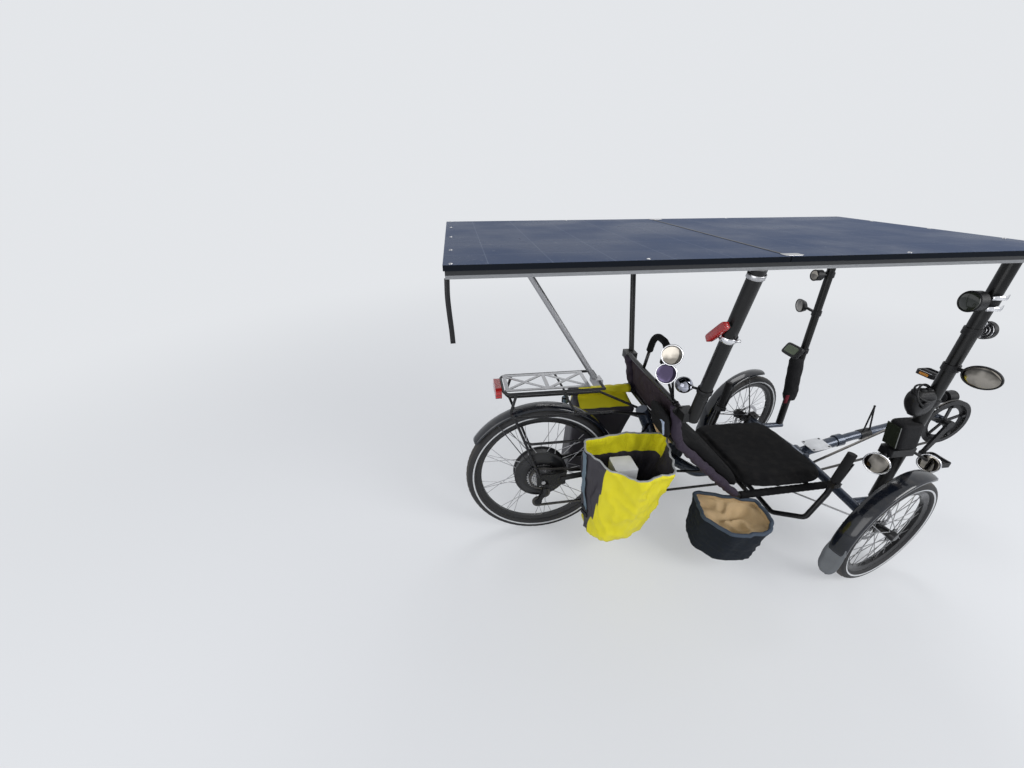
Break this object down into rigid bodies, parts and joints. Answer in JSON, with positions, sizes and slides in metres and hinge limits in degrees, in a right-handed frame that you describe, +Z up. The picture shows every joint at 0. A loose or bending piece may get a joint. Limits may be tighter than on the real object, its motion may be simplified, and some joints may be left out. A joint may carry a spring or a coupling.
{
  "type": "recumbent tricycle",
  "caption": "Solar-roofed recumbent tricycle with steered front wheels, a driven rear wheel, a mesh seat, a rear rack and soft bags.",
  "frame": {"origin": "on the floor under the middle of the whole footprint, on the mid-plane", "axes": "+X forward towards the pedals, +Y to the rider's left, +Z up"},
  "size_m": [2.412, 1.0514, 1.3363],
  "materials": {
    "frame_paint": "glossy dark blue-grey",
    "black_paint": "satin black",
    "black_rim": "satin black",
    "tyre": "matt with a pale side stripe",
    "steel": "brushed",
    "chain_steel": "oiled",
    "alloy": "satin",
    "black_plastic": "matt",
    "fender_plastic": "glossy black",
    "foam": "matt foam",
    "seat_fabric": "black mesh fabric",
    "back_fabric": "purple-grey fabric",
    "yellow_fabric": "coated fabric with grey panels",
    "bag_fabric": "black fabric with a tan lining",
    "solar": "blue-grey film",
    "roof_alloy": "dark rails",
    "red_lens": "red lens",
    "white_plastic": "matt",
    "mirror_glass": "mirror in a black shell"
  },
  "bodies": {
    "frame": {"main_tube": "frame_paint", "boom": "frame_paint", "cross_beam": "frame_paint", "rear_fork": "frame_paint", "seat_frame": "black_paint", "rear_rack": "black_paint", "posts_middle": "black_paint", "posts_front": "black_paint", "boom_stalk": "black_paint", "rear_axle": "steel", "chain": "chain_steel", "rack_deck": "alloy", "post_rear": "alloy", "idlers": "black_plastic", "derailleur": "black_plastic", "headlamp": "black_plastic", "post_lamps": "black_plastic", "display": "black_plastic", "rear_fender": "fender_plastic", "seat_cushion": "seat_fabric", "neck_rest": "seat_fabric", "seat_pocket": "seat_fabric", "post_covers": "seat_fabric", "seat_back": "back_fabric", "pannier_left": "yellow_fabric", "pannier_right": "yellow_fabric", "side_bag_left": "bag_fabric", "side_bag_right": "bag_fabric", "solar_panel_front": "solar", "solar_panel_rear": "solar", "roof_frame": "roof_alloy", "tail_lamp": "red_lens", "post_reflector": "red_lens", "horn": "steel", "battery_case": "white_plastic", "front_mirrors": "mirror_glass", "seat_mirrors": "mirror_glass"},
    "handlebar": {"handlebar": "black_paint", "grips": "foam"},
    "tie_rod_left": {"tie_rod_left": "alloy"},
    "tie_rod_right": {"tie_rod_right": "alloy"},
    "knuckle_left": {"knuckle_front_left": "black_paint", "caliper_front_left": "black_plastic", "fender_front_left": "fender_plastic"},
    "knuckle_right": {"knuckle_front_right": "black_paint", "caliper_front_right": "black_plastic", "fender_front_right": "fender_plastic"},
    "wheel_left": {"tyre_front_left": "tyre", "wheel_front_left": "black_rim", "brake_disc_front_left": "steel"},
    "wheel_right": {"tyre_front_right": "tyre", "wheel_front_right": "black_rim", "brake_disc_front_right": "steel"},
    "rear_wheel": {"tyre_rear": "tyre", "wheel_rear": "black_rim", "cassette": "steel"},
    "crankset": {"crank": "alloy"},
    "pedal_left": {"pedal_left": "black_plastic"},
    "pedal_right": {"pedal_right": "black_plastic"}
  },
  "joints": [
    {"name": "bar_steer", "type": "hinge", "parent": "frame", "child": "handlebar", "pos_m": [0.196, 0, 0.15], "axis": [0, 0, 1], "range_deg": [-35.83, 14.17]},
    {"name": "steer_left", "type": "hinge", "parent": "frame", "child": "knuckle_left", "pos_m": [0.454, 0.365, 0.25], "axis": [0, -0.2079, 0.9781], "range_deg": [-43.01, 17.01]},
    {"name": "wheel_left_spin", "type": "hinge", "parent": "knuckle_left", "child": "wheel_left", "pos_m": [0.4364, 0.44304, 0.24958], "axis": [-0.22, 0.9755, -0.0052], "continuous": true},
    {"name": "tie_rod_left_turn", "type": "hinge", "parent": "handlebar", "child": "tie_rod_left", "pos_m": [0.2844, 0.01692, 0.124], "axis": [-0.0489, -0.0094, 0.9988], "range_deg": [-14.18, 35.84]},
    {"name": "steer_right", "type": "hinge", "parent": "frame", "child": "knuckle_right", "pos_m": [0.454, -0.365, 0.25], "axis": [0, 0.2079, 0.9781], "range_deg": [-43.01, 17.01]},
    {"name": "wheel_right_spin", "type": "hinge", "parent": "knuckle_right", "child": "wheel_right", "pos_m": [0.4716, -0.44304, 0.24958], "axis": [-0.22, 0.9755, 0.0052], "continuous": true},
    {"name": "tie_rod_right_turn", "type": "hinge", "parent": "handlebar", "child": "tie_rod_right", "pos_m": [0.2844, 0.01692, 0.147], "axis": [-0.0489, -0.0094, 0.9988], "range_deg": [-14.18, 35.84]},
    {"name": "rear_wheel_spin", "type": "hinge", "parent": "frame", "child": "rear_wheel", "pos_m": [-0.854, 0, 0.33], "axis": [0, 1, 0], "continuous": true},
    {"name": "crank_spin", "type": "hinge", "parent": "frame", "child": "crankset", "pos_m": [1.091, 0, 0.468], "axis": [0, 1, 0], "continuous": true},
    {"name": "pedal_left_spin", "type": "hinge", "parent": "crankset", "child": "pedal_left", "pos_m": [1.15468, 0.14, 0.62562], "axis": [0, 1, 0], "continuous": true},
    {"name": "pedal_right_spin", "type": "hinge", "parent": "crankset", "child": "pedal_right", "pos_m": [1.02732, -0.14, 0.31038], "axis": [0, 1, 0], "continuous": true}
  ],
  "couplings": [
    {"joint": "steer_left", "follows": "bar_steer", "ratio": 1.2},
    {"joint": "tie_rod_left_turn", "follows": "bar_steer", "ratio": -1},
    {"joint": "steer_right", "follows": "bar_steer", "ratio": 1.2},
    {"joint": "tie_rod_right_turn", "follows": "bar_steer", "ratio": -1}
  ]
}
